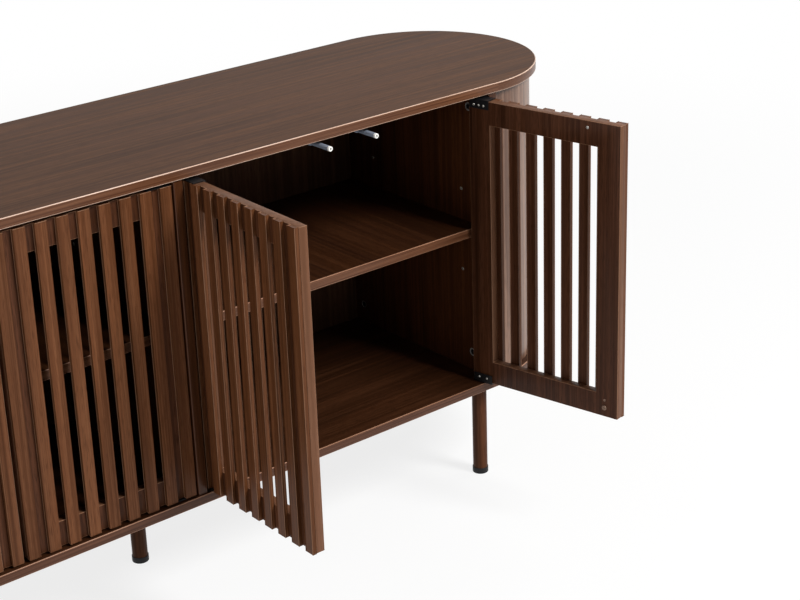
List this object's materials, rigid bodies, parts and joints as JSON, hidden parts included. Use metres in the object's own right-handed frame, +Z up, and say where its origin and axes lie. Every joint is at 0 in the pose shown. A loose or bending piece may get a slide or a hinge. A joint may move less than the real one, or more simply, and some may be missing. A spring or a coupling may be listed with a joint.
{
  "type": "sideboard",
  "caption": "Low round-ended sideboard on slim round legs, with slatted push-to-open pivot doors over shelved compartments.",
  "frame": {"origin": "on the floor, at the middle of the centre leg's foot", "axes": "+X to the right along the length, +Y to the back, +Z up"},
  "size_m": [1.67, 0.6701, 0.748],
  "materials": {
    "walnut_board": "satin laminate",
    "walnut_slat": "satin laminate",
    "walnut_back": "matt laminate",
    "walnut_leg": "satin",
    "black_cap": "matt",
    "black_steel": "satin black",
    "white_plastic": "satin",
    "bright_steel": "zinc plated"
  },
  "bodies": {
    "carcass": {"top_board": "walnut_board", "bottom_board": "walnut_board", "left_end_shell": "walnut_board", "right_end_shell": "walnut_board", "left_side_panel": "walnut_board", "right_side_panel": "walnut_board", "centre_partition": "walnut_board", "left_shelf": "walnut_board", "right_shelf": "walnut_board", "left_back_panel": "walnut_back", "right_back_panel": "walnut_back", "left_front_leg": "walnut_leg", "right_front_leg": "walnut_leg", "left_back_leg": "walnut_leg", "right_back_leg": "walnut_leg", "centre_leg": "walnut_leg", "left_front_leg_cap": "black_cap", "right_front_leg_cap": "black_cap", "left_back_leg_cap": "black_cap", "right_back_leg_cap": "black_cap", "centre_leg_cap": "black_cap", "left_shelf_outer_front_pin": "bright_steel", "left_shelf_outer_back_pin": "bright_steel", "left_shelf_inner_front_pin": "bright_steel", "left_shelf_inner_back_pin": "bright_steel", "right_shelf_outer_front_pin": "bright_steel", "right_shelf_outer_back_pin": "bright_steel", "right_shelf_inner_front_pin": "bright_steel", "right_shelf_inner_back_pin": "bright_steel", "left_door_latch": "white_plastic", "inner_left_door_latch": "white_plastic", "inner_right_door_latch": "white_plastic", "right_door_latch": "white_plastic"},
    "left_door": {"left_door_hinge_stile": "walnut_slat", "left_door_free_stile": "walnut_slat", "left_door_slat_panel": "walnut_slat", "left_door_top_hinge": "black_steel", "left_door_bottom_hinge": "black_steel"},
    "inner_left_door": {"inner_left_door_hinge_stile": "walnut_slat", "inner_left_door_free_stile": "walnut_slat", "inner_left_door_slat_panel": "walnut_slat", "inner_left_door_top_hinge": "black_steel", "inner_left_door_bottom_hinge": "black_steel"},
    "inner_right_door": {"inner_right_door_hinge_stile": "walnut_slat", "inner_right_door_free_stile": "walnut_slat", "inner_right_door_slat_panel": "walnut_slat", "inner_right_door_top_hinge": "black_steel", "inner_right_door_bottom_hinge": "black_steel"},
    "right_door": {"right_door_hinge_stile": "walnut_slat", "right_door_free_stile": "walnut_slat", "right_door_slat_panel": "walnut_slat", "right_door_top_hinge": "black_steel", "right_door_bottom_hinge": "black_steel"},
    "left_door_plunger": {"left_door_plunger": "white_plastic"},
    "inner_left_door_plunger": {"inner_left_door_plunger": "white_plastic"},
    "inner_right_door_plunger": {"inner_right_door_plunger": "white_plastic"},
    "right_door_plunger": {"right_door_plunger": "white_plastic"}
  },
  "joints": [
    {"name": "left_door_hinge", "type": "hinge", "parent": "carcass", "child": "left_door", "pos_m": [-0.6015, -0.20385, 0.211], "axis": [0, 0, 1], "range_deg": [-112, 0]},
    {"name": "inner_left_door_hinge", "type": "hinge", "parent": "carcass", "child": "inner_left_door", "pos_m": [-0.0235, -0.20385, 0.211], "axis": [0, 0, 1], "range_deg": [0, 92]},
    {"name": "inner_right_door_hinge", "type": "hinge", "parent": "carcass", "child": "inner_right_door", "pos_m": [0.0235, -0.20385, 0.211], "axis": [0, 0, 1], "range_deg": [-1, 91]},
    {"name": "right_door_hinge", "type": "hinge", "parent": "carcass", "child": "right_door", "pos_m": [0.6015, -0.20385, 0.211], "axis": [0, 0, 1], "range_deg": [-102, 10]},
    {"name": "left_door_plunger_slide", "type": "slide", "parent": "carcass", "child": "left_door_plunger", "axis": [0, -1, 0], "range_m": [-0.0001, 0.0495]},
    {"name": "inner_left_door_plunger_slide", "type": "slide", "parent": "carcass", "child": "inner_left_door_plunger", "axis": [0, -1, 0], "range_m": [-0.0001, 0.0456]},
    {"name": "inner_right_door_plunger_slide", "type": "slide", "parent": "carcass", "child": "inner_right_door_plunger", "axis": [0, -1, 0], "range_m": [-0.0451, 0.0006]},
    {"name": "right_door_plunger_slide", "type": "slide", "parent": "carcass", "child": "right_door_plunger", "axis": [0, -1, 0], "range_m": [-0.0451, 0.0045]}
  ],
  "couplings": [
    {"joint": "left_door_plunger_slide", "follows": "left_door_hinge", "m_per_rad": -0.025278},
    {"joint": "inner_left_door_plunger_slide", "follows": "inner_left_door_hinge", "m_per_rad": 0.028333},
    {"joint": "inner_right_door_plunger_slide", "follows": "inner_right_door_hinge", "m_per_rad": -0.028333},
    {"joint": "right_door_plunger_slide", "follows": "right_door_hinge", "m_per_rad": 0.025278}
  ]
}
